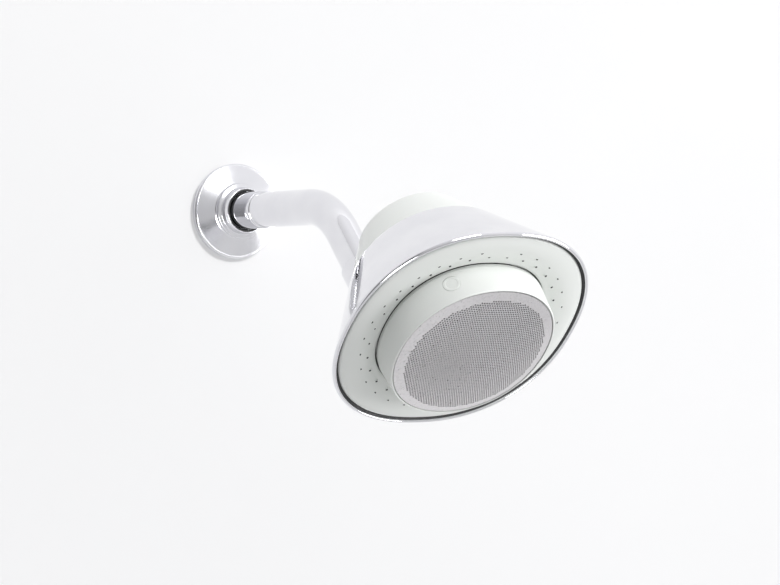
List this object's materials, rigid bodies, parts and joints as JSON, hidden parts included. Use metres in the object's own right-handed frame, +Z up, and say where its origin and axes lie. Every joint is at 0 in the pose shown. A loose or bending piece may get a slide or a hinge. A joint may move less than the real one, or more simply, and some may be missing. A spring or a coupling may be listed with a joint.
{
  "type": "shower speaker",
  "caption": "Shower head on a bent wall arm with a ball joint, a ring of spray nozzles and a removable wireless speaker pod docked in its middle.",
  "frame": {"origin": "on the shower arm's axis at the wall's face, where the flange's back lies", "axes": "+Z up, +Y into the wall, -Y into the room, +X to the right seen from the room"},
  "size_m": [0.1462, 0.3324, 0.1513],
  "materials": {
    "chrome": "polished",
    "white_plastic": "satin gloss moulding",
    "inner_plastic": "moulded",
    "black_plastic": "moulded",
    "bearing_plastic": "smooth acetal",
    "white_silicone": "soft matt",
    "rubber": "matt",
    "grille_metal": "satin, perforated",
    "steel": "bright",
    "ferrite": "ground",
    "cloth": "open weave",
    "paper": "pressed cone",
    "copper": "lacquered wire",
    "board": "solder mask",
    "battery_wrap": "shrink wrap"
  },
  "bodies": {
    "wall_arm": {"shower_arm": "chrome", "swivel_ball": "chrome", "inlet_washer": "rubber", "inlet_filter": "steel", "flow_disc": "bearing_plastic"},
    "flange": {"wall_flange": "chrome", "flange_oring": "rubber"},
    "ball_tilt": {"ball_liner_inner": "bearing_plastic"},
    "ball_swing": {"ball_liner_outer": "bearing_plastic"},
    "head": {"retaining_nut": "chrome", "inlet_neck": "chrome", "ball_seal": "rubber", "duct_gasket": "rubber", "chrome_shell": "chrome", "face_plate": "white_plastic", "nozzle_mat": "white_silicone", "manifold_back": "inner_plastic", "chamber_seal_outer": "rubber", "chamber_seal_inner": "rubber", "dock_cup": "inner_plastic", "rear_cover": "white_plastic", "dock_magnet_1": "steel", "dock_magnet_2": "steel", "dock_magnet_3": "steel", "dock_magnet_4": "steel", "cover_screw_1": "steel", "cover_screw_2": "steel", "cover_screw_3": "steel", "cover_screw_4": "steel"},
    "speaker": {"front_housing": "white_plastic", "grille": "grille_metal", "grille_cloth": "cloth", "housing_seal": "rubber", "rear_housing": "white_plastic", "driver_basket": "black_plastic", "driver_gasket": "rubber", "top_plate": "steel", "magnet_ring": "ferrite", "pole_yoke": "steel", "spider": "cloth", "surround": "rubber", "main_board": "board", "battery": "battery_wrap", "battery_cradle": "black_plastic", "charge_port": "steel", "button_switch": "black_plastic", "microphone": "black_plastic", "keeper_plate": "steel", "driver_screw_1": "steel", "driver_screw_2": "steel", "driver_screw_3": "steel", "driver_screw_4": "steel"},
    "cone": {"driver_cone": "paper", "dust_cap": "paper", "voice_coil": "copper"},
    "power_button": {"power_button": "white_plastic"},
    "port_cover": {"port_cover": "rubber"}
  },
  "joints": [
    {"name": "flange_slide", "type": "slide", "parent": "wall_arm", "child": "flange", "axis": [0, -1, 0], "range_m": [0, 0.018]},
    {"name": "head_tilt", "type": "hinge", "parent": "wall_arm", "child": "ball_tilt", "pos_m": [0, -0.17481, -0.05944], "axis": [1, 0, 0], "range_deg": [-12, 12]},
    {"name": "head_swing", "type": "hinge", "parent": "ball_tilt", "child": "ball_swing", "pos_m": [0, -0.17481, -0.05944], "axis": [0, -0.7071, 0.7071], "range_deg": [-12, 12]},
    {"name": "head_spin", "type": "hinge", "parent": "ball_swing", "child": "head", "pos_m": [0, -0.17481, -0.05944], "axis": [0, -0.7071, -0.7071], "continuous": true},
    {"name": "speaker_release", "type": "slide", "parent": "head", "child": "speaker", "axis": [0, -0.7071, -0.7071], "range_m": [0, 0.12]},
    {"name": "cone_travel", "type": "slide", "parent": "speaker", "child": "cone", "axis": [0, -0.7071, -0.7071], "range_m": [-0.0015, 0.0015], "stiffness_N_per_m": 1500, "deforming": ["surround", "spider"]},
    {"name": "power_press", "type": "slide", "parent": "speaker", "child": "power_button", "axis": [0.5445, 0.6093, -0.5764], "range_m": [0, 0.0008], "stiffness_N_per_m": 2500},
    {"name": "port_cover_hinge", "type": "hinge", "parent": "speaker", "child": "port_cover", "pos_m": [0, -0.21724, -0.05393], "axis": [-1, 0, 0], "range_deg": [0, 80], "stiffness_Nm_per_rad": 0.001}
  ]
}
